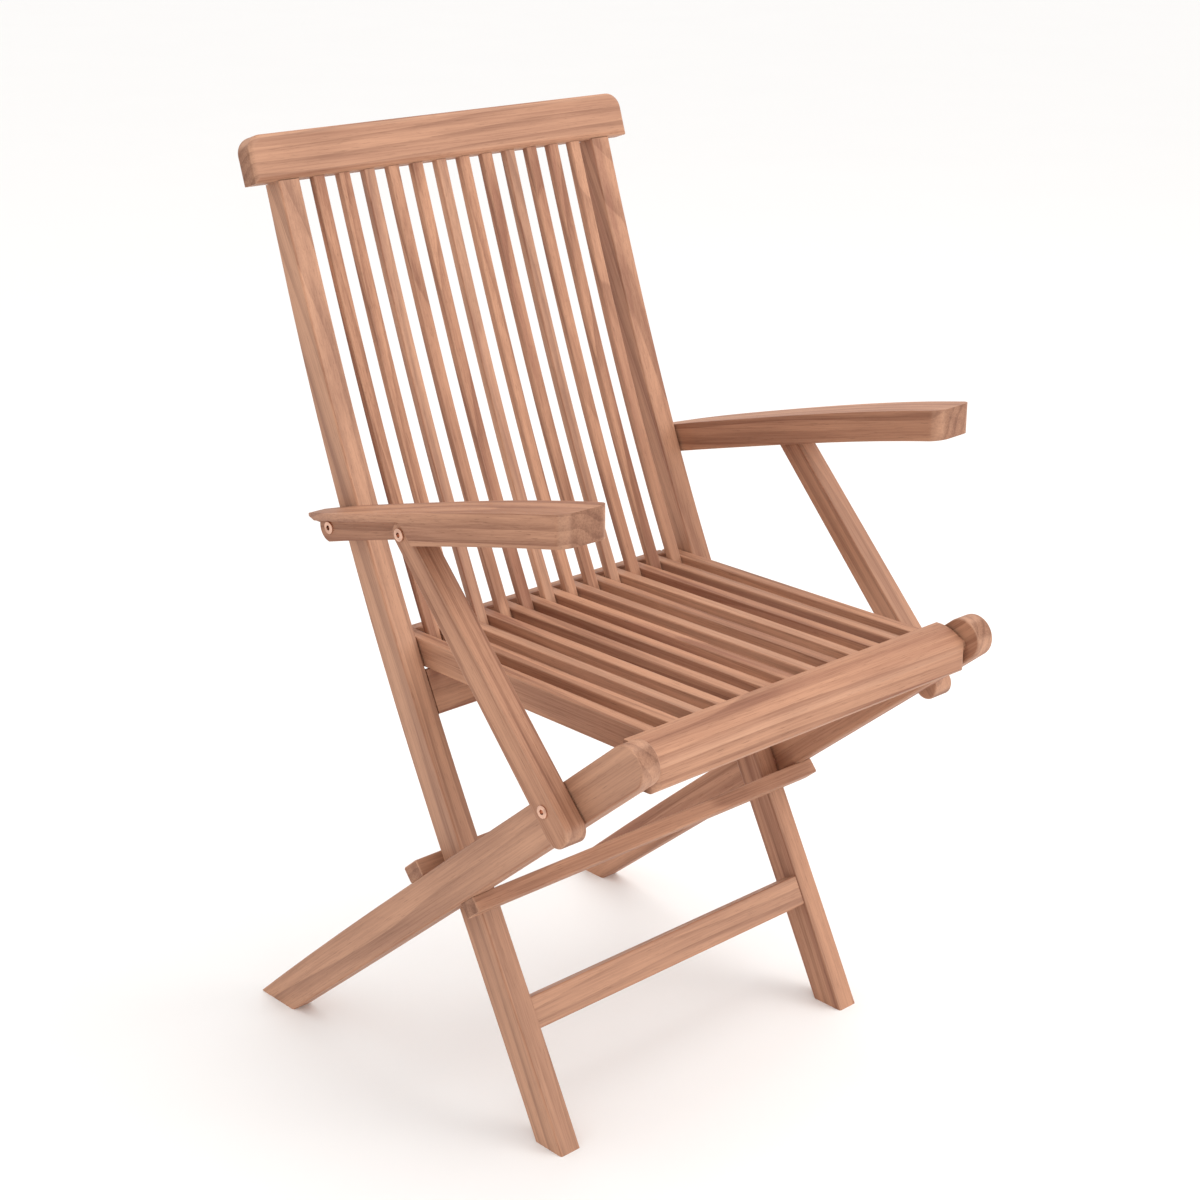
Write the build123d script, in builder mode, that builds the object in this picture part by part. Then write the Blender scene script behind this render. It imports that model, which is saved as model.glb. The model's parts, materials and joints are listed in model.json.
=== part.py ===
# Folding garden armchair in solid teak.
#
# Own frame, millimetres: +Z up, the chair faces -Y, +X is the sitter's left.
# The origin is on the floor, under the middle of the open chair.
#
# Two bowed stiles run from the front feet up to the top rail. Two straight legs run from the
# rear feet up to the front rail of the seat and cross the stiles on a pin. The seat turns on
# round tenons in the leg heads, and its rear batten slides up behind the back slats when the
# chair folds. The arms turn up on the stiles, and a strut ties each arm to its leg.
import math
import os

from build123d import *

os.makedirs("parts", exist_ok=True)

# ---- layers across the chair, measured outward from the middle plane --------------------------
STILE_IN, STILE_OUT = 183.2, 207.2      # stiles
LEG_IN, LEG_OUT = 209.2, 231.2          # legs, and the lower half of the arms
STRUT_IN, STRUT_OUT = 232.2, 257.2      # struts

# ---- side profile of a stile: points (Y, Z) up the front edge and up the rear edge -------------
# the last point of each is inside the top rail
STILE_FRONT = [(-159, 0), (-82, 150), (-4.5, 300), (67.5, 450), (130.4, 600), (184.7, 750),
               (219.8, 857.4), (226.7, 880)]
STILE_REAR = [(-122, 0), (-45, 150), (31.5, 300), (101.4, 450), (161.4, 600), (212.1, 750),
              (241.8, 850.5), (250.9, 880)]

# ---- top rail, seen from the end: a board leaning back with the stiles ------------------------
RAIL_LEAN = 17.5                        # degrees back from upright
RAIL_FOOT = (217.8, 858.0)              # its lower front corner (Y, Z)
RAIL_HIGH, RAIL_THICK = 44.0, 24.0
RAIL_HALF = 232.0                       # half its length; it overhangs both stiles

# ---- back slats and the rail they stand in -----------------------------------------------------
BACK_SLATS = 12
SLAT_WIDE, SLAT_DEEP, SLAT_SETBACK = 13.0, 8.0, 1.0
BACK_GAP = (2 * STILE_IN - BACK_SLATS * SLAT_WIDE) / (BACK_SLATS + 1)
PITCH = SLAT_WIDE + BACK_GAP
LOW_LEAN = 25.5                         # lean of the lower back rail
LOW_TOP = (53.3, 419.4)                 # its upper front corner
LOW_HIGH, LOW_THICK = 44.0, 18.0
STRETCHER_TOP = (-90.5, 131.0)          # upper front corner of the front stretcher
STRETCHER_HIGH, STRETCHER_THICK = 31.0, 18.0

# ---- pivots (Y, Z) -----------------------------------------------------------------------------
LEG_PIVOT = (-31.0, 233.0)              # leg on stile
SEAT_PIVOT = (-265.0, 431.0)            # front rail in the leg heads
ARM_PIVOT = (130.0, 551.0)              # arm on stile
STRUT_PIVOT = (-9.0, 583.0)             # strut on arm
STRUT_FOOT = (-194.0, 381.0)            # strut on leg

# ---- legs ----------------------------------------------------------------------------------------
LEG_HEAD = (-267.0, 436.0)              # middle of the round head of a leg (Y, Z)
HEAD_R = 20.5
LEG_FOOT = 259.0                        # Y where the axis of a leg meets the floor
# half depths of a leg over and under its axis, from the foot to the head
LEG_UPPER = (17.5, 25.6, HEAD_R, HEAD_R)
LEG_LOWER = (17.5, 20.3, HEAD_R, HEAD_R)

# ---- seat ----------------------------------------------------------------------------------------
SEAT_TOP = 447.0
SEAT_SLATS = 11
SEAT_SLAT_WIDE, SEAT_SLAT_HIGH = 13.0, 19.0
SIDE_RAIL_WIDE, SIDE_RAIL_BOTTOM = 14.0, 420.0
FRONT_RAIL_BACK = -239.0                # rear face of the front rail
BATTEN_FRONT, BATTEN_BACK = 88.0, 100.0
BATTEN_BOTTOM, BATTEN_TOP = 426.0, 446.0

# ---- fasteners -----------------------------------------------------------------------------------
PIN_R, TENON_R, BOLT_R, BOLT_HEAD_R, BOLT_HEAD_THICK = 5.0, 7.5, 4.0, 6.0, 1.6
RUN = 0.05                              # radial clearance of a turning fit
STRUT_TOP_R, STRUT_END_R = 11.0, 13.5    # rounds at the ends of a strut
STRUT_PAST = 22.0                       # the strut runs on past its lower bolt by this much
REBATE_GAP = 0.8                        # air between a strut and the front wall of its rebate
EASE = 2.0                              # rounding of the long arrises


def lean_plane(corner, lean, x=0.0):
    """Plane whose X runs across the chair and whose normal runs up the leaning board."""
    a = math.radians(lean)
    return Plane(origin=(x, corner[0], corner[1]), x_dir=(1, 0, 0),
                 z_dir=(0, math.sin(a), math.cos(a)))


def shifted(points, depth):
    """The points of a front edge moved straight back into the board by depth."""
    out = []
    for i, (y, z) in enumerate(points):
        y0, z0 = points[max(i - 1, 0)]
        y1, z1 = points[min(i + 1, len(points) - 1)]
        run = math.hypot(y1 - y0, z1 - z0)
        out.append((y + depth * (z1 - z0) / run, z - depth * (y1 - y0) / run))
    return out


def save(builder, name):
    builder.part.label = name
    export_step(builder.part, f"parts/{name}.step")


def save_pair(builder, name):
    """Saves a piece made for the +X side, and its mirror image for the -X side."""
    save(builder, f"{name}_left")
    with BuildPart() as other:
        mirror(builder.part, about=Plane.YZ)
    save(other, f"{name}_right")


def cross_rod(point, radius, x_from, x_to, mode=Mode.ADD):
    """A rod across the chair at a (Y, Z) point, for a pin or for the hole it turns in."""
    with BuildSketch(Plane.YZ.offset(x_from)) as rod:
        with Locations(point):
            Circle(radius)
    extrude(rod.sketch, amount=x_to - x_from, mode=mode)


# ---- stiles --------------------------------------------------------------------------------------
with BuildPart() as stile:
    with BuildSketch(Plane.YZ.offset(STILE_IN)):
        with BuildLine():
            Spline(*STILE_FRONT)
            Line(STILE_FRONT[-1], STILE_REAR[-1])
            Spline(*STILE_REAR)
            Line(STILE_REAR[0], STILE_FRONT[0])
        make_face()
    extrude(amount=STILE_OUT - STILE_IN)
    split(bisect_by=lean_plane(RAIL_FOOT, RAIL_LEAN), keep=Keep.BOTTOM)
    long_edges = stile.edges().filter_by(lambda e: e.length > 500)
    fillet(long_edges, EASE)
    # tenon into the top rail
    with BuildSketch(lean_plane(RAIL_FOOT, RAIL_LEAN)):
        with Locations(((STILE_IN + STILE_OUT) / 2, 13)):
            Rectangle(14, 10)
    extrude(amount=20)
    cross_rod(LEG_PIVOT, PIN_R + RUN, STILE_OUT - 17, STILE_OUT, Mode.SUBTRACT)
    cross_rod(ARM_PIVOT, BOLT_R, STILE_OUT - 17, STILE_OUT, Mode.SUBTRACT)
save_pair(stile, "stile")

# ---- back slats ----------------------------------------------------------------------------------
slat_front = shifted(STILE_FRONT[2:], SLAT_SETBACK)
slat_rear = shifted(STILE_FRONT[2:], SLAT_SETBACK + SLAT_DEEP)
back_slats = []
for i in range(BACK_SLATS):
    centre = -STILE_IN + BACK_GAP + SLAT_WIDE / 2 + i * PITCH
    with BuildPart() as slat:
        with BuildSketch(Plane.YZ.offset(centre - SLAT_WIDE / 2)):
            with BuildLine():
                Spline(*slat_front)
                Line(slat_front[-1], slat_rear[-1])
                Spline(*slat_rear)
                Line(slat_rear[0], slat_front[0])
            make_face()
        extrude(amount=SLAT_WIDE)
        # cut square at the two rails, then leave a short tenon at each end
        split(bisect_by=lean_plane(LOW_TOP, LOW_LEAN), keep=Keep.TOP)
        split(bisect_by=lean_plane(RAIL_FOOT, RAIL_LEAN), keep=Keep.BOTTOM)
        fillet(slat.edges().filter_by(lambda e: e.length > 200), 1.5)
        with BuildSketch(lean_plane(RAIL_FOOT, RAIL_LEAN)):
            with Locations((centre, 7.5)):
                Rectangle(9, 5)
        extrude(amount=10)
        with BuildSketch(lean_plane(LOW_TOP, LOW_LEAN)):
            with Locations((centre, 5.5)):
                Rectangle(9, 5)
        extrude(amount=-10)
    back_slats.append(slat)
    save(slat, f"back_slat_{i + 1:02d}")

# ---- top rail ------------------------------------------------------------------------------------
with BuildPart() as top_rail:
    with BuildSketch(lean_plane(RAIL_FOOT, RAIL_LEAN)):
        with Locations((0, RAIL_THICK / 2)):
            Rectangle(2 * RAIL_HALF, RAIL_THICK)
    extrude(amount=RAIL_HIGH)
    ends = top_rail.edges().filter_by(Axis.X, reverse=True)
    across = ends.filter_by(lambda e: abs(e.length - RAIL_THICK) < 0.1)
    fillet(across.filter_by(lambda e: e.center().Z > 870), 16)
    outline = top_rail.edges().filter_by(lambda e: e.length > 2 and abs(e.length - RAIL_THICK) > 0.1)
    fillet(outline, 5)
    for slat in back_slats:
        add(slat.part, mode=Mode.SUBTRACT)
    add(stile.part, mode=Mode.SUBTRACT)
    mirror(stile.part, about=Plane.YZ, mode=Mode.SUBTRACT)
save(top_rail, "top_rail")

# ---- lower back rail -----------------------------------------------------------------------------
with BuildPart() as lower_rail:
    with BuildSketch(lean_plane(LOW_TOP, LOW_LEAN)):
        with Locations((0, LOW_THICK / 2)):
            Rectangle(2 * STILE_IN, LOW_THICK)
    extrude(amount=-LOW_HIGH)
    fillet(lower_rail.edges().filter_by(Axis.X), EASE)
    for slat in back_slats:
        add(slat.part, mode=Mode.SUBTRACT)
save(lower_rail, "lower_back_rail")

# ---- front stretcher -----------------------------------------------------------------------------
with BuildPart() as stretcher:
    with BuildSketch(lean_plane(STRETCHER_TOP, 27.0)):
        with Locations((0, STRETCHER_THICK / 2)):
            Rectangle(2 * STILE_IN, STRETCHER_THICK)
    extrude(amount=-STRETCHER_HIGH)
    fillet(stretcher.edges().filter_by(Axis.X), EASE)
save(stretcher, "front_stretcher")

# ---- legs ----------------------------------------------------------------------------------------
axis_y = LEG_HEAD[0] - LEG_FOOT
axis_z = LEG_HEAD[1]
axis_len = math.hypot(axis_y, axis_z)
along = (axis_y / axis_len, axis_z / axis_len)      # unit vector from the foot to the head
over = (along[1], -along[0])                        # unit vector square to it, upward
LEG_RUN = axis_len + 40             # the edge curves start below the floor, which cuts them off


def on_leg(distance, height):
    """(Y, Z) of a point this far down the leg from its head and this high over its axis."""
    return (LEG_HEAD[0] - along[0] * distance + over[0] * height,
            LEG_HEAD[1] - along[1] * distance + over[1] * height)


def leg_edge(edge):
    """Bezier points of a leg's upper (+1) or lower (-1) edge, from the foot to the head."""
    heights = LEG_UPPER if edge > 0 else LEG_LOWER
    return [on_leg(LEG_RUN * (1 - i / 3), edge * h) for i, h in enumerate(heights)]


def edge_height(distance, edge):
    """Height over the leg axis of its upper (+1) or lower (-1) edge at this distance."""
    a, b, c, d = LEG_UPPER if edge > 0 else LEG_LOWER
    t = 1 - distance / LEG_RUN
    return a * (1 - t) ** 3 + 3 * b * t * (1 - t) ** 2 + 3 * c * t * t * (1 - t) + d * t ** 3


with BuildPart() as leg:
    with BuildSketch(Plane.YZ.offset(LEG_IN)):
        with BuildLine():
            Bezier(*leg_edge(1))
            ThreePointArc(on_leg(0, HEAD_R), on_leg(-HEAD_R, 0), on_leg(0, -HEAD_R))
            Bezier(*reversed(leg_edge(-1)))
            Line(leg_edge(-1)[0], leg_edge(1)[0])
        make_face()
    extrude(amount=LEG_OUT - LEG_IN)
    split(bisect_by=Plane.XY, keep=Keep.TOP)
    for side in (LEG_IN, LEG_OUT):
        rim = leg.edges().filter_by_position(Axis.X, side - 0.1, side + 0.1)
        fillet(rim.filter_by(lambda e: e.center().Z > 1), EASE)
    cross_rod(LEG_PIVOT, PIN_R, LEG_IN, LEG_IN + 16, Mode.SUBTRACT)
    cross_rod(SEAT_PIVOT, TENON_R + RUN, LEG_IN, LEG_IN + 17, Mode.SUBTRACT)
    cross_rod(STRUT_FOOT, BOLT_R, LEG_OUT - 17, LEG_OUT, Mode.SUBTRACT)

# ---- crossbars: battens fixed on the upper and the lower edges of both legs --------------------
# each is given by its distance down the leg, its width along it and its depth over the edge
CROSSBARS = {
    "rear_crossbar": (338.0, 24.0, 17.0, 1),
    "front_crossbar": (279.0, 22.0, 16.0, -1),
}


def bar_base(start, wide, edge):
    """Height of a crossbar's inner face over the leg axis, let 0.6 into the leg."""
    return min(abs(edge_height(start, edge)), abs(edge_height(start + wide, edge))) - 0.6


def bar_block(start, wide, deep, edge):
    """The square block of a crossbar, and its plane square to the leg through its middle."""
    base = bar_base(start, wide, edge)
    with BuildPart() as block:
        with BuildSketch(Plane.YZ.offset(-LEG_OUT + 1)):
            with BuildLine():
                Polyline(on_leg(start, edge * base), on_leg(start + wide, edge * base),
                         on_leg(start + wide, edge * (base + deep)),
                         on_leg(start, edge * (base + deep)), close=True)
            make_face()
        extrude(amount=2 * LEG_OUT - 2)
    return block


def bar_dowels(start, wide, deep, edge):
    """Two dowels, one into each leg, that stop short of the crossbar's outer face."""
    seat = on_leg(start + wide / 2, edge * (bar_base(start, wide, edge) - 14))
    turned = Plane(origin=(0, seat[0], seat[1]), x_dir=(1, 0, 0),
                   z_dir=(0, edge * over[0], edge * over[1]))
    middle = (LEG_IN + LEG_OUT) / 2
    with BuildPart() as pair:
        with BuildSketch(turned):
            with Locations((middle, 0), (-middle, 0)):
                Circle(4)
        extrude(amount=14 + deep - 5)
    return pair


blocks = [bar_block(*size) for size in CROSSBARS.values()]
dowels = [bar_dowels(*size) for size in CROSSBARS.values()]
for name, block, dowel in zip(CROSSBARS, blocks, dowels):
    with BuildPart() as bar:
        add(block.part)
        fillet(bar.edges().filter_by(Axis.X), EASE)
        chamfer(bar.faces().filter_by(Axis.X).edges(), 1)
        add(dowel.part, mode=Mode.SUBTRACT)
    save(bar, name)

with BuildPart() as crossbar_dowels:
    for dowel in dowels:
        add(dowel.part)
save(crossbar_dowels, "crossbar_dowels")

with BuildPart() as leg_cut:
    add(leg.part)
    for piece in blocks + dowels:
        add(piece.part, mode=Mode.SUBTRACT)
save_pair(leg_cut, "leg")

with BuildPart() as leg_pins:
    cross_rod(LEG_PIVOT, PIN_R, STILE_OUT - 16, LEG_IN + 16)
    mirror(about=Plane.YZ)
save(leg_pins, "leg_pivot_pins")

# ---- seat ----------------------------------------------------------------------------------------
with BuildPart() as batten:
    with BuildSketch(Plane.YZ.offset(-STILE_IN + BACK_GAP)):
        with Locations(((BATTEN_FRONT + BATTEN_BACK) / 2, (BATTEN_BOTTOM + BATTEN_TOP) / 2)):
            Rectangle(BATTEN_BACK - BATTEN_FRONT, BATTEN_TOP - BATTEN_BOTTOM)
    extrude(amount=2 * (STILE_IN - BACK_GAP))
    fillet(batten.edges().filter_by(Axis.X), 1.5)

seat_slats = []
for i in range(SEAT_SLATS):
    centre = (i - (SEAT_SLATS - 1) / 2) * PITCH
    with BuildPart() as slat:
        with BuildSketch(Plane.XZ.offset(-FRONT_RAIL_BACK)):
            with Locations((centre, SEAT_TOP - SEAT_SLAT_HIGH / 2)):
                Rectangle(SEAT_SLAT_WIDE, SEAT_SLAT_HIGH)
        extrude(amount=FRONT_RAIL_BACK - BATTEN_FRONT)
        fillet(slat.edges().filter_by(Axis.Y), 1.5)
        # tenons into the front rail and the rear batten
        with BuildSketch(Plane.XZ.offset(-FRONT_RAIL_BACK + 12)):
            with Locations((centre, SEAT_TOP - 11)):
                Rectangle(8, 9)
        extrude(amount=FRONT_RAIL_BACK - BATTEN_FRONT - 12 - 6)
    seat_slats.append(slat)

with BuildPart() as side_rail:
    with BuildSketch(Plane.YZ.offset(STILE_IN - BACK_GAP / 2 - SIDE_RAIL_WIDE / 2)):
        with BuildLine():
            Polyline((FRONT_RAIL_BACK, SIDE_RAIL_BOTTOM), (BATTEN_BACK, SIDE_RAIL_BOTTOM),
                     (BATTEN_BACK, SEAT_TOP), (FRONT_RAIL_BACK, SEAT_TOP), close=True)
        make_face()
    extrude(amount=SIDE_RAIL_WIDE)
    fillet(side_rail.edges().filter_by(Axis.Y), 1.5)
    fillet(side_rail.edges().filter_by(Axis.X).filter_by_position(Axis.Y, 99, 101), 6)
    with BuildSketch(Plane.XZ.offset(-FRONT_RAIL_BACK + 12)):
        with Locations((STILE_IN - BACK_GAP / 2, SEAT_TOP - 12)):
            Rectangle(8, 12)
    extrude(amount=-13)
save_pair(side_rail, "seat_side_rail")

with BuildPart() as front_rail:
    with BuildSketch(Plane.YZ):
        with BuildLine():
            Polyline((FRONT_RAIL_BACK, 407), (FRONT_RAIL_BACK, SEAT_TOP), (-245, SEAT_TOP))
            ThreePointArc((-245, SEAT_TOP), (-263, 442), (-277, 431))
            Polyline((-277, 431), (-277, 412), (-272, 407), (FRONT_RAIL_BACK, 407))
        make_face()
    extrude(amount=LEG_IN - 3, both=True)
    fillet(front_rail.edges().filter_by(Axis.X).filter_by(lambda e: e.center().Z < 440), 2.5)
    # in plan its front corners are rounded towards the legs
    with BuildSketch(Plane.XY.offset(400)):
        with Locations((0, FRONT_RAIL_BACK + 30)):
            RectangleRounded(2 * (LEG_IN - 3), 136, 9)
    extrude(amount=60, mode=Mode.INTERSECT)
    cross_rod(SEAT_PIVOT, TENON_R, LEG_IN - 8, LEG_IN + 16)
    cross_rod(SEAT_PIVOT, TENON_R, -LEG_IN - 16, -LEG_IN + 8)
    for slat in seat_slats:
        add(slat.part, mode=Mode.SUBTRACT)
    add(side_rail.part, mode=Mode.SUBTRACT)
    mirror(side_rail.part, about=Plane.YZ, mode=Mode.SUBTRACT)
save(front_rail, "seat_front_rail")

with BuildPart() as batten_cut:
    add(batten.part)
    add(side_rail.part, mode=Mode.SUBTRACT)
    mirror(side_rail.part, about=Plane.YZ, mode=Mode.SUBTRACT)
    for slat in seat_slats:
        add(slat.part, mode=Mode.SUBTRACT)
save(batten_cut, "seat_rear_batten")
for i, slat in enumerate(seat_slats):
    save(slat, f"seat_slat_{i + 1:02d}")

# ---- struts: their outline, which the arms are rebated to ---------------------------------------
span = math.dist(STRUT_PIVOT, STRUT_FOOT)
strut_end = tuple(f + (f - p) * STRUT_PAST / span for f, p in zip(STRUT_FOOT, STRUT_PIVOT))


def strut_outline(grow=0.0):
    """Adds a strut's side outline, or one grown by an even margin, to the sketch in hand."""
    with BuildSketch(mode=Mode.PRIVATE) as outline:
        with Locations(STRUT_PIVOT):
            Circle(STRUT_TOP_R + grow)
        with Locations(strut_end):
            Circle(STRUT_END_R + grow)
        make_hull()
    add(outline.sketch)


# ---- arms ----------------------------------------------------------------------------------------
ARM_TOP = [(167, 556.0), (120, 569.5), (35, 591.5), (-54, 613.8), (-156, 637.5), (-228, 652.0)]
ARM_HIGH = 29.5
ARM_BAND = 7.5                          # thickness left over the strut
ARM_EDGE = [(228, 167), (238, 136), (248, 100), (256, 50), (260, 0), (262, -50), (263, -110),
            (261, -190)]                # outer edge in plan, (X, Y) from rear to front
arm_low = [(y, z - ARM_HIGH) for y, z in ARM_TOP]
band_low = [(y, z - ARM_BAND) for y, z in ARM_TOP]
with BuildPart() as arm:
    with BuildSketch(Plane.YZ.offset(LEG_IN)):
        with BuildLine():
            Spline(*ARM_TOP)
            Line(ARM_TOP[-1], arm_low[-1])
            Spline(*arm_low)
            Line(arm_low[0], ARM_TOP[0])
        make_face()
    extrude(amount=80)
    with BuildSketch(Plane.XY.offset(450)):
        with BuildLine():
            Line((LEG_IN, ARM_TOP[0][0]), ARM_EDGE[0])
            Spline(*ARM_EDGE)
            Line(ARM_EDGE[-1], (260, -213))
            ThreePointArc((260, -213), (257, -221.5), (249, -226))
            Line((249, -226), (223, -228))
            ThreePointArc((223, -228), (213.5, -224.5), (LEG_IN, -215))
            Line((LEG_IN, -215), (LEG_IN, ARM_TOP[0][0]))
        make_face()
    extrude(amount=300, mode=Mode.INTERSECT)
    # rebate on the outer side that the strut folds into, ending just in front of the strut
    with BuildSketch(Plane.YZ.offset(LEG_OUT + 0.4)):
        with BuildLine():
            Spline(*band_low)
            Polyline(band_low[-1], (-228, 700), (-300, 700), (-300, 500), (200, 500), (200, 560),
                     band_low[0])
        make_face()
        with BuildSketch(mode=Mode.INTERSECT):
            strut_outline(REBATE_GAP)
            with Locations((STRUT_PIVOT[0] + 150, 560)):
                Rectangle(300, 200)
    extrude(amount=60, mode=Mode.SUBTRACT)
    # the lower half ends in a round about the pivot
    with BuildSketch(Plane.YZ.offset(LEG_IN)):
        with BuildLine():
            Line((ARM_PIVOT[0], ARM_PIVOT[1] - 40), (200, ARM_PIVOT[1] - 40))
            Line((200, ARM_PIVOT[1] - 40), (200, ARM_PIVOT[1] + 2))
            Line((200, ARM_PIVOT[1] + 2), (ARM_PIVOT[0] + 14, ARM_PIVOT[1] + 2))
            ThreePointArc((ARM_PIVOT[0] + 14, ARM_PIVOT[1] + 2),
                          (ARM_PIVOT[0] + 10.5, ARM_PIVOT[1] - 9.3),
                          (ARM_PIVOT[0], ARM_PIVOT[1] - 14))
            Line((ARM_PIVOT[0], ARM_PIVOT[1] - 14), (ARM_PIVOT[0], ARM_PIVOT[1] - 40))
        make_face()
    extrude(amount=60, mode=Mode.SUBTRACT)
    cross_rod(ARM_PIVOT, BOLT_R + RUN, LEG_IN, LEG_OUT + 1, Mode.SUBTRACT)
    cross_rod(STRUT_PIVOT, BOLT_R, LEG_OUT - 17, LEG_OUT + 1, Mode.SUBTRACT)
save_pair(arm, "armrest")

# ---- struts --------------------------------------------------------------------------------------
with BuildPart() as strut:
    with BuildSketch(Plane.YZ.offset(STRUT_IN)):
        strut_outline()
    extrude(amount=STRUT_OUT - STRUT_IN)
    for side in (STRUT_IN, STRUT_OUT):
        fillet(strut.edges().filter_by_position(Axis.X, side - 0.1, side + 0.1), EASE)
    cross_rod(STRUT_PIVOT, BOLT_R + RUN, STRUT_IN, STRUT_OUT, Mode.SUBTRACT)
    cross_rod(STRUT_FOOT, BOLT_R, STRUT_IN, STRUT_OUT, Mode.SUBTRACT)
save_pair(strut, "strut")


# ---- bolts: a plain shank, a low round head and a six-sided socket ------------------------------
def bolt(at, x_from, x_head):
    cross_rod(at, BOLT_R, x_from, x_head)
    cross_rod(at, BOLT_HEAD_R, x_head, x_head + BOLT_HEAD_THICK)
    rim = faces().filter_by(Axis.X).sort_by(Axis.X)[-1].edges()
    fillet(rim, 0.7)
    with BuildSketch(Plane.YZ.offset(x_head + BOLT_HEAD_THICK)) as socket:
        with Locations(at):
            RegularPolygon(2.6, 6)
    extrude(socket.sketch, amount=-4, mode=Mode.SUBTRACT)


with BuildPart() as arm_bolts:
    bolt(ARM_PIVOT, STILE_OUT - 17, LEG_OUT + 0.4)
    mirror(about=Plane.YZ)
save(arm_bolts, "arm_pivot_bolts")

with BuildPart() as strut_bolt:
    bolt(STRUT_PIVOT, LEG_OUT - 17, STRUT_OUT + 0.4)
save_pair(strut_bolt, "strut_top_bolt")

with BuildPart() as foot_bolt:
    bolt(STRUT_FOOT, STRUT_IN, STRUT_OUT)
save_pair(foot_bolt, "strut_foot_bolt")

with BuildPart() as foot_nuts:
    cross_rod(STRUT_FOOT, BOLT_R, LEG_OUT - 17, LEG_OUT)
    mirror(about=Plane.YZ)
save(foot_nuts, "strut_foot_nuts")
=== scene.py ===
"""Folding teak armchair: finishes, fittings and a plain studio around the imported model.

Metres, in the model's own frame: +Z up, the chair faces -Y, the floor is at Z = 0.
"""
import json
import math

import bpy
import numpy as np
from bpy.props import FloatProperty, FloatVectorProperty, PointerProperty
from bpy.types import Operator, Panel, PropertyGroup
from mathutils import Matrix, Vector


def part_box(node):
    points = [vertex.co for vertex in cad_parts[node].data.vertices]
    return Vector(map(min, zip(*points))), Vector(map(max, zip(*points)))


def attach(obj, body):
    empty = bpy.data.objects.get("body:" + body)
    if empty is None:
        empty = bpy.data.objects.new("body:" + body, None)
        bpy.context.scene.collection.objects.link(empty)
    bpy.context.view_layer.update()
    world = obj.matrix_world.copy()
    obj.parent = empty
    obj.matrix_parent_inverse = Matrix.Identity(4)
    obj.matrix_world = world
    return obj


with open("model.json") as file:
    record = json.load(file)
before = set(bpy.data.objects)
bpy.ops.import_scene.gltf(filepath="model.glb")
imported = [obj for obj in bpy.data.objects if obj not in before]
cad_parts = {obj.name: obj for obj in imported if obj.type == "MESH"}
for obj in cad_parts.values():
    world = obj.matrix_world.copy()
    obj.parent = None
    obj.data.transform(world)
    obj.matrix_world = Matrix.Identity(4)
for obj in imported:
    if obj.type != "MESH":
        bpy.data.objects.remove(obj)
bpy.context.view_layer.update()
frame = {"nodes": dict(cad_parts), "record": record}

bl_info = {
    "name": "Folding Teak Armchair",
    "version": (1, 0, 0),
    "blender": (4, 5, 0),
    "location": "3D View > Sidebar > Armchair",
    "description": "Finishes, fittings and studio for a folding teak armchair",
    "category": "Object",
}


# ---- settings --------------------------------------------------------------------------------

class TeakSettings(PropertyGroup):
    """Colours and grain of the bare sanded teak."""
    light: FloatVectorProperty(name="Light", description="Pale wood between the grain lines",
                               subtype="COLOR", size=3, default=(0.520, 0.266, 0.160))
    dark: FloatVectorProperty(name="Dark", description="Brown of the late wood",
                              subtype="COLOR", size=3, default=(0.235, 0.098, 0.054))
    red: FloatVectorProperty(name="Red", description="Redder heartwood of some battens",
                             subtype="COLOR", size=3, default=(0.310, 0.120, 0.075))
    pore: FloatVectorProperty(name="Pore", description="Open pores and end grain",
                              subtype="COLOR", size=3, default=(0.130, 0.055, 0.030))
    figure: FloatProperty(name="Figure width", description="Spacing of the broad bands",
                          default=0.011, unit="LENGTH")
    line: FloatProperty(name="Line width", description="Spacing of the fine grain lines",
                        default=0.0016, unit="LENGTH")
    stretch: FloatProperty(name="Stretch", description="Length of a grain line over its width",
                           default=55.0)
    relief: FloatProperty(name="Relief", description="Depth of the sanded grain",
                          default=0.00012, unit="LENGTH")
    roughness: FloatProperty(name="Roughness", description="Roughness of the sanded surface",
                             default=0.62, subtype="FACTOR")


class BoltSettings(PropertyGroup):
    """Barrel bolts of plated brass."""
    metal: FloatVectorProperty(name="Metal", description="Rose brass plating", subtype="COLOR",
                               size=3, default=(0.760, 0.470, 0.350))
    flange: FloatProperty(name="Flange radius", description="Outer radius of the bolt head",
                          default=0.0060, unit="LENGTH")
    rise: FloatProperty(name="Rise", description="Height of the head over the wood",
                        default=0.0016, unit="LENGTH")
    socket: FloatProperty(name="Socket radius", description="Corner radius of the six-sided socket",
                          default=0.0026, unit="LENGTH")
    depth: FloatProperty(name="Socket depth", description="Depth of the six-sided socket",
                         default=0.0038, unit="LENGTH")


class StudioSettings(PropertyGroup):
    """Floor, lights and camera."""
    floor: FloatVectorProperty(name="Floor", description="Colour of the floor sheet",
                               subtype="COLOR", size=3, default=(0.93, 0.93, 0.93))
    sky: FloatProperty(name="Fill", description="Strength of the even fill light", default=1.06)
    key: FloatProperty(name="Key", description="Power of the overhead soft box", default=30.0,
                       unit="POWER")
    side: FloatProperty(name="Side", description="Power of the front soft box", default=24.0,
                        unit="POWER")
    lens: FloatProperty(name="Lens", description="Focal length on a 36 mm wide sensor",
                        default=67.32)
    eye: FloatVectorProperty(name="Eye", description="Place of the camera", size=3,
                             subtype="TRANSLATION", default=(-1.3974, -1.4878, 1.1919))
    azimuth: FloatProperty(name="Azimuth", description="Turn of the view from +Y towards +X",
                           default=math.radians(43.0), subtype="ANGLE")
    elevation: FloatProperty(name="Elevation", description="Downward tilt of the view",
                             default=math.radians(19.8), subtype="ANGLE")


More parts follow.
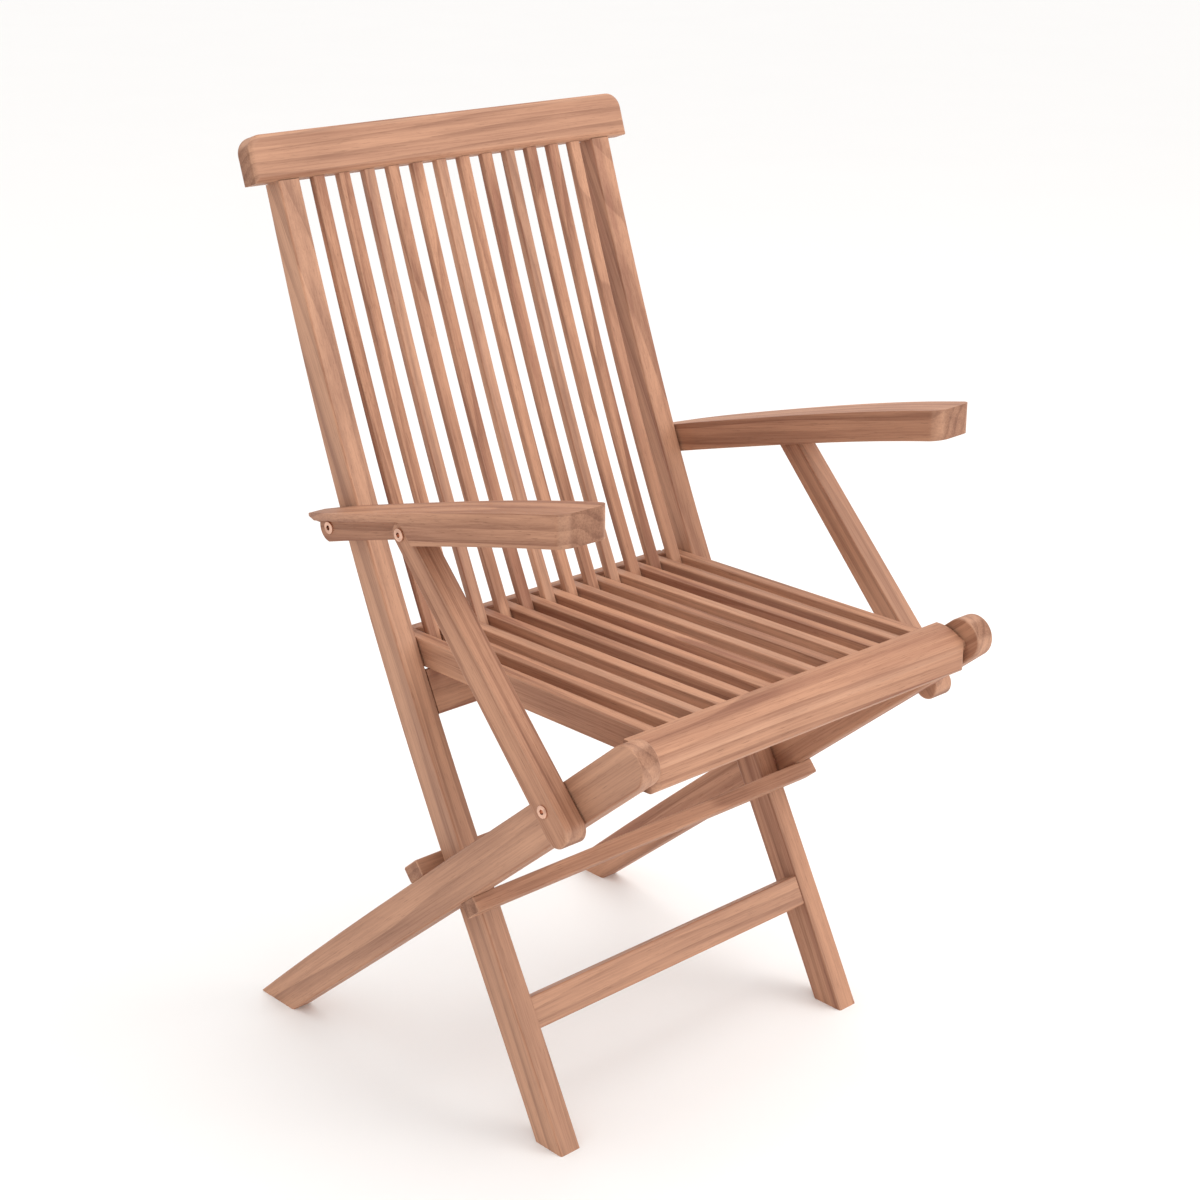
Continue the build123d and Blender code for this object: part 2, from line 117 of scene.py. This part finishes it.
class ArmchairSettings(PropertyGroup):
    """All settings of the armchair."""
    teak: PointerProperty(type=TeakSettings)
    bolt: PointerProperty(type=BoltSettings)
    studio: PointerProperty(type=StudioSettings)


# ---- shader expressions ------------------------------------------------------------------------

class Field:
    """A node socket that takes part in Python arithmetic."""

    def __init__(self, tree, socket):
        self.tree, self.socket = tree, socket

    def node(self, kind, settings=None, out=0, **inputs):
        """A new node of this kind: settings first, then socket values or links by name."""
        made = self.tree.nodes.new(kind)
        for key, value in (settings or {}).items():
            setattr(made, key, value)
        for key, value in inputs.items():
            name = key.replace("_", " ")
            place = made.inputs[int(name[2:])] if name.startswith("at") else made.inputs[name]
            self.put(place, value)
        return Field(self.tree, made.outputs[out])

    def put(self, place, value):
        if isinstance(value, Field):
            self.tree.links.new(value.socket, place)
        elif hasattr(place.default_value, "__len__") and not hasattr(value, "__len__"):
            place.default_value = [value] * len(place.default_value)
        elif place.type == "RGBA" and len(value) == 3:
            place.default_value = (*value, 1.0)
        else:
            place.default_value = value

    def math(self, operation, *values, clamp=False):
        made = self.tree.nodes.new("ShaderNodeMath")
        made.operation, made.use_clamp = operation, clamp
        for place, value in zip(made.inputs, values):
            self.put(place, value)
        return Field(self.tree, made.outputs[0])

    def vector(self, operation, *values, out=0, **named):
        made = self.tree.nodes.new("ShaderNodeVectorMath")
        made.operation = operation
        for place, value in zip(made.inputs, values):
            self.put(place, value)
        for key, value in named.items():
            self.put(made.inputs[key], value)
        return Field(self.tree, made.outputs[out])

    def __add__(self, other): return self.math("ADD", self, other)
    def __radd__(self, other): return self.math("ADD", other, self)
    def __sub__(self, other): return self.math("SUBTRACT", self, other)
    def __rsub__(self, other): return self.math("SUBTRACT", other, self)
    def __mul__(self, other): return self.math("MULTIPLY", self, other)
    def __rmul__(self, other): return self.math("MULTIPLY", other, self)
    def __truediv__(self, other): return self.math("DIVIDE", self, other)
    def __rtruediv__(self, other): return self.math("DIVIDE", other, self)
    def __pow__(self, other): return self.math("POWER", self, other)
    def __abs__(self): return self.math("ABSOLUTE", self)

    def smooth(self, low, high):
        """0 below low, 1 above high, with a soft step between them."""
        return self.node("ShaderNodeMapRange", {"interpolation_type": "SMOOTHSTEP"},
                         Value=self, From_Min=low, From_Max=high)

    def mix(self, a, b):
        """Colour a where this is 0 and colour b where it is 1."""
        made = self.tree.nodes.new("ShaderNodeMix")
        made.data_type = "RGBA"
        for place, value in ((made.inputs[0], self), (made.inputs[6], a), (made.inputs[7], b)):
            self.put(place, value)
        return Field(self.tree, made.outputs[2])

    def dot(self, direction):
        return self.vector("DOT_PRODUCT", self, tuple(direction), out=1)


def new_material(name):
    """An empty material with its Principled shader, and Fields for place and normal."""
    material = bpy.data.materials.new(name)
    material.use_nodes = True
    tree = material.node_tree
    shader = tree.nodes["Principled BSDF"]
    coords = tree.nodes.new("ShaderNodeTexCoord")
    return (material, shader, Field(tree, coords.outputs["Object"]),
            Field(tree, coords.outputs["Normal"]))


def unit(v):
    v = np.asarray(v, float)
    return v / np.linalg.norm(v)


def teak(name, settings, along, seed, tone=0.0, red=0.0, depth=(1, 0, 0)):
    """Teak whose grain runs along a direction. Its section is cut across depth, so the growth
    rings show as broad bands on the faces and as arcs on the ends."""
    material, shader, place, normal = new_material(name)
    u = unit(along)
    w = unit(np.asarray(depth, float) - u * np.dot(u, depth))
    v = np.cross(w, u)
    rng = np.random.default_rng(seed)
    shift = rng.uniform(-3.0, 3.0, 3)
    pu, pv, pw = (place.dot(d) + float(s) for d, s in zip((u, v, w), shift * (1, .05, .05)))

    def streaks(width, stretch, detail=2.0, rough=0.5):
        where = place.node("ShaderNodeCombineXYZ", X=pu / (width * stretch), Y=pv / width,
                           Z=pw / width)
        return place.node("ShaderNodeTexNoise", Vector=where, Scale=1.0, Detail=detail,
                          Roughness=rough)

    # rings: distance from a pith line well outside the batten, bent by a slow wander
    wander = streaks(settings.figure * 5, 9.0, 1.0)
    across = pv * float(rng.uniform(-0.5, 0.5)) + pw * float(rng.uniform(0.8, 1.0))
    phase = across / settings.figure + pu * float(rng.uniform(-0.9, 0.9)) + wander * 3.2
    ring = place.math("FRACT", phase)
    late = ring.smooth(0.35, 0.95) * (1.0 - ring.smooth(0.95, 1.0))
    broad = streaks(settings.figure * 1.4, 22.0, 2.0)
    fine = streaks(settings.line, settings.stretch, 3.0, 0.6)
    pores = streaks(settings.line * 0.35, 28.0, 1.0).smooth(0.63, 0.74)
    blotch = place.node("ShaderNodeTexNoise", Vector=place, Scale=9.0, Detail=2.0)

    shade = (late * 0.40 + broad.smooth(0.30, 0.75) * 0.48 + fine.smooth(0.35, 0.70) * 0.32
             + (blotch - 0.5) * 0.45 + float(tone))
    colour = shade.math("ADD", shade, 0.0, clamp=True).mix(tuple(settings.light),
                                                         tuple(settings.dark))
    colour = (broad.smooth(0.45, 0.8) * float(red)).mix(colour, tuple(settings.red))
    colour = (pores * 0.45).mix(colour, tuple(settings.pore))
    # ends: darker, open and ringed
    end = abs(normal.dot(u)).smooth(0.80, 0.97)
    colour = (end * (0.25 + fine * 0.35)).mix(colour, tuple(settings.pore))
    # arrises: sanded round, a little paler
    flat = place.math("MAXIMUM", place.math("MAXIMUM", abs(normal.dot(u)), abs(normal.dot(v))),
                      abs(normal.dot(w)))
    arris = 1.0 - flat.smooth(0.86, 0.985)
    colour = (arris * 0.16).mix(colour, (0.62, 0.40, 0.28))
    tree_put = place.put
    tree_put(shader.inputs["Base Color"], colour)
    tree_put(shader.inputs["Roughness"], settings.roughness + (fine - 0.5) * 0.14 - arris * 0.06
             + pores * 0.12)
    height = fine * 0.6 + late * 0.25 - pores * 0.8
    bump = place.node("ShaderNodeBump", Strength=0.55, Distance=settings.relief, Height=height)
    tree_put(shader.inputs["Normal"], bump)
    shader.inputs["Specular IOR Level"].default_value = 0.38
    return material


def brass(name, settings):
    """Rose brass plating with handling marks."""
    material, shader, place, normal = new_material(name)
    marks = place.node("ShaderNodeTexNoise", Vector=place, Scale=900.0, Detail=3.0)
    film = place.node("ShaderNodeTexNoise", Vector=place, Scale=160.0, Detail=2.0)
    colour = film.smooth(0.35, 0.75).mix(tuple(settings.metal), (0.52, 0.30, 0.22))
    place.put(shader.inputs["Base Color"], colour)
    place.put(shader.inputs["Roughness"], 0.20 + marks * 0.18)
    shader.inputs["Metallic"].default_value = 1.0
    place.put(shader.inputs["Normal"],
              place.node("ShaderNodeBump", Strength=0.3, Distance=0.00003, Height=marks))
    return material


# ---- meshes --------------------------------------------------------------------------------------

def grid_object(name, points, flip=False):
    """An object from an array of rows of points: rows closed round, ends closed with fans."""
    rows, cols = points.shape[:2]
    index = np.arange(rows * cols).reshape(rows, cols)
    right = np.roll(index, -1, axis=1)
    quads = np.stack([index[:-1], right[:-1], right[1:], index[1:]], -1).reshape(-1, 4)
    verts = np.vstack([points.reshape(-1, 3), points[0].mean(0), points[-1].mean(0)])
    a, b = rows * cols, rows * cols + 1
    faces = (quads.tolist() + np.stack([right[0], index[0], np.full(cols, a)], -1).tolist()
             + np.stack([index[-1], right[-1], np.full(cols, b)], -1).tolist())
    if flip:
        faces = [face[::-1] for face in faces]
    mesh = bpy.data.meshes.new(name)
    mesh.from_pydata(verts.tolist(), [], faces)
    mesh.update()
    mesh.polygons.foreach_set("use_smooth", np.ones(len(mesh.polygons), bool))
    mesh.set_sharp_from_angle(angle=math.radians(35))
    made = bpy.data.objects.new(name, mesh)
    bpy.context.scene.collection.objects.link(made)
    return made


def bolt_points(at, x_wood, side, settings):
    """A turned head: each row is a circle round the bolt's axis, at a radius and a height read
    along the profile. Inside the barrel the radius follows a hexagon: the apothem over the
    cosine of the angle from the nearest flat's middle."""
    r, h = settings.flange, settings.rise
    profile = np.array([
        # radius, height over the wood, share of hexagon
        [r * 0.86, -0.0010, 0], [r * 0.97, 0.0001, 0], [r, h * 0.18, 0], [r, h * 0.42, 0],
        [r * 0.955, h * 0.62, 0], [r * 0.84, h * 0.70, 0], [r * 0.76, h * 0.60, 0],
        [r * 0.72, h * 0.48, 0], [r * 0.68, h * 0.62, 0], [r * 0.64, h * 0.90, 0],
        [r * 0.59, h * 1.00, 0], [r * 0.52, h * 0.98, 0.2], [settings.socket * 1.06, h * 0.90, 0.9],
        [settings.socket, h * 0.74, 1], [settings.socket, h - settings.depth, 1],
        [settings.socket * 0.45, h - settings.depth * 1.12, 1]])
    turn = np.linspace(0, 2 * np.pi, 96, endpoint=False)
    flat = np.cos(np.pi / 6) / np.cos((turn % (np.pi / 3)) - np.pi / 6)
    radius = profile[:, :1] * (1 + profile[:, 2:] * (flat - 1)[None, :])
    y = at[0] + radius * np.cos(turn) * side
    z = at[1] + radius * np.sin(turn)
    x = side * (x_wood + np.repeat(profile[:, 1:2], len(turn), 1))
    return np.stack([x, y, z], -1)


# ---- which way each batten's grain runs -----------------------------------------------------

def run_of(name):
    """Direction of the grain of a wooden node, from its name."""
    low, high = (Vector(c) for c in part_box(name))
    if "slat" in name and "back" in name:
        return (0, 0.40, 0.92)
    if name.startswith(("seat_slat", "seat_side")):
        return (0, 1, 0)
    if name.startswith("stile"):
        return (0, 0.44, 0.90)
    if name.startswith("leg_"):
        return (0, -0.77, 0.64)
    if name.startswith("armrest"):
        return (0, -0.975, 0.215)
    if name.startswith("strut"):
        return (0, -0.67, -0.74)
    return (1, 0, 0)


def dress(names, settings, spread=0.12):
    """Teak for each of these nodes, cut from its own board."""
    for name in names:
        node = frame["nodes"][name]
        seed = sum(ord(c) * (i + 3) for i, c in enumerate(name))
        rng = np.random.default_rng(seed)
        material = teak("teak_" + name, settings, run_of(name), seed,
                        tone=rng.uniform(-spread, spread), red=rng.uniform(0.0, 0.55),
                        depth=rng.normal(size=3))
        for slot in node.material_slots:
            slot.material = material
        if not node.material_slots:
            node.data.materials.append(material)


class PieceOperator:
    """Shared by the operators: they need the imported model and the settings."""
    bl_options = {"REGISTER", "UNDO"}

    @property
    def settings(self):
        return bpy.context.scene.armchair


class ARMCHAIR_OT_back(PieceOperator, Operator):
    """Finishes the top rail, the stiles, the back slats and the rails between the stiles"""
    bl_idname = "armchair.back"
    bl_label = "Back"

    def execute(self, context):
        names = ["top_rail", "stile_left", "stile_right", "lower_back_rail", "front_stretcher"]
        dress(names, self.settings.teak, 0.06)
        dress([n for n in frame["nodes"] if n.startswith("back_slat")], self.settings.teak, 0.14)
        return {"FINISHED"}


class ARMCHAIR_OT_seat(PieceOperator, Operator):
    """Finishes the battens and rails of the seat"""
    bl_idname = "armchair.seat"
    bl_label = "Seat"

    def execute(self, context):
        dress([n for n in frame["nodes"] if n.startswith("seat_")], self.settings.teak, 0.15)
        return {"FINISHED"}


class ARMCHAIR_OT_legs(PieceOperator, Operator):
    """Finishes the legs, their crossbars and the dowels"""
    bl_idname = "armchair.legs"
    bl_label = "Legs"

    def execute(self, context):
        names = ["leg_left", "leg_right", "rear_crossbar", "front_crossbar", "crossbar_dowels"]
        dress(names, self.settings.teak, 0.10)
        return {"FINISHED"}


class ARMCHAIR_OT_arms(PieceOperator, Operator):
    """Finishes the arms and their struts"""
    bl_idname = "armchair.arms"
    bl_label = "Arms and struts"

    def execute(self, context):
        dress(["armrest_left", "armrest_right", "strut_left", "strut_right"],
              self.settings.teak, 0.08)
        return {"FINISHED"}


class ARMCHAIR_OT_bolts(PieceOperator, Operator):
    """Makes the turned bolt heads with their sockets and plates all the metal"""
    bl_idname = "armchair.bolts"
    bl_label = "Bolts"

    def execute(self, context):
        settings = self.settings.bolt
        plating = brass("rose_brass", settings)
        bolts = {"arm_pivot_bolts": ("back_frame",), "strut_top_bolt": ("arm_left", "arm_right"),
                 "strut_foot_bolt": ("strut_left", "strut_right")}
        metal = [s["node"] for s in frame["record"]["subparts"] if s["material_slot"] == "metal"]
        for name in metal:
            if "bolt" not in name:
                continue
            low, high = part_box(name)
            sides = (1, -1) if name == "arm_pivot_bolts" else (1 if name.endswith("left") else -1,)
            body = next(b for b, nodes in frame["record"]["behaviour"]["bodies"].items()
                        if name in nodes)
            for side in sides:
                outer = high[0] if side > 0 else -low[0]
                middle = ((low[1] + high[1]) / 2, (low[2] + high[2]) / 2)
                points = bolt_points(middle, outer - settings.rise, side, settings)
                head = grid_object(f"{name}_head" + ("_right" if side < 0 else "_left"),
                                   points, side < 0)
                head.data.materials.append(plating)
                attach(head, body)
        for name in metal:
            node = frame["nodes"][name]
            for slot in node.material_slots:
                slot.material = plating
            if not node.material_slots:
                node.data.materials.append(plating)
        return {"FINISHED"}


class ARMCHAIR_OT_studio(PieceOperator, Operator):
    """Lays the floor and sets up the soft lights and the camera"""
    bl_idname = "armchair.studio"
    bl_label = "Studio"

    def execute(self, context):
        s = self.settings.studio
        scene = context.scene
        size = 14.0
        mesh = bpy.data.meshes.new("floor")
        mesh.from_pydata([(-size, -size, 0), (size, -size, 0), (size, size, 0), (-size, size, 0)],
                         [], [(0, 1, 2, 3)])
        floor = bpy.data.objects.new("floor", mesh)
        scene.collection.objects.link(floor)
        material, shader, place, normal = new_material("floor_sheet")
        cloud = place.node("ShaderNodeTexNoise", Vector=place, Scale=2.0, Detail=2.0)
        place.put(shader.inputs["Base Color"],
                  cloud.mix(tuple(s.floor), tuple(c * 0.985 for c in s.floor)))
        shader.inputs["Roughness"].default_value = 0.9
        mesh.materials.append(material)

        world = bpy.data.worlds.new("studio")
        world.use_nodes = True
        world.node_tree.nodes["Background"].inputs[0].default_value = (1.0, 0.985, 0.97, 1)
        world.node_tree.nodes["Background"].inputs[1].default_value = s.sky
        scene.world = world
        for name, place_at, aim, power, wide, warm in (
                ("overhead", (0.9, -0.6, 3.0), (0, 0, 0.5), s.key, 2.2, (1, 0.97, 0.94)),
                ("front", (1.6, -2.8, 1.5), (0, 0, 0.5), s.side, 1.8, (1, 0.96, 0.92))):
            lamp = bpy.data.lights.new(name, "AREA")
            lamp.energy, lamp.size, lamp.color = power, wide, warm
            made = bpy.data.objects.new(name, lamp)
            made.location = place_at
            made.rotation_euler = (Vector(aim) - Vector(place_at)).to_track_quat("-Z", "Y").to_euler()
            scene.collection.objects.link(made)

        camera = bpy.data.cameras.new("camera")
        camera.lens, camera.sensor_width = s.lens, 36.0
        camera.clip_end = 100.0
        made = bpy.data.objects.new("camera", camera)
        made.location = s.eye
        view = Vector((math.sin(s.azimuth) * math.cos(s.elevation),
                       math.cos(s.azimuth) * math.cos(s.elevation), -math.sin(s.elevation)))
        made.rotation_euler = view.to_track_quat("-Z", "Y").to_euler()
        scene.collection.objects.link(made)
        scene.camera = made
        scene.view_settings.view_transform = "Standard"
        return {"FINISHED"}


class ARMCHAIR_PT_panel(Panel):
    """Buttons and settings of the armchair."""
    bl_label = "Folding Armchair"
    bl_idname = "ARMCHAIR_PT_panel"
    bl_space_type = "VIEW_3D"
    bl_region_type = "UI"
    bl_category = "Armchair"

    def draw(self, context):
        for kind in OPERATORS:
            self.layout.operator(kind.bl_idname)
        settings = context.scene.armchair
        for group in (settings.teak, settings.bolt, settings.studio):
            box = self.layout.box()
            for name in group.__annotations__:
                box.prop(group, name)


OPERATORS = (ARMCHAIR_OT_back, ARMCHAIR_OT_seat, ARMCHAIR_OT_legs, ARMCHAIR_OT_arms,
             ARMCHAIR_OT_bolts, ARMCHAIR_OT_studio)
CLASSES = (TeakSettings, BoltSettings, StudioSettings, ArmchairSettings, *OPERATORS,
           ARMCHAIR_PT_panel)


def register():
    for kind in CLASSES:
        bpy.utils.register_class(kind)
    bpy.types.Scene.armchair = PointerProperty(type=ArmchairSettings)


def unregister():
    del bpy.types.Scene.armchair
    for kind in reversed(CLASSES):
        bpy.utils.unregister_class(kind)


def main():
    register()
    for kind in OPERATORS:
        group, name = kind.bl_idname.split(".")
        getattr(getattr(bpy.ops, group), name)()


if __name__ == "__main__":
    main()
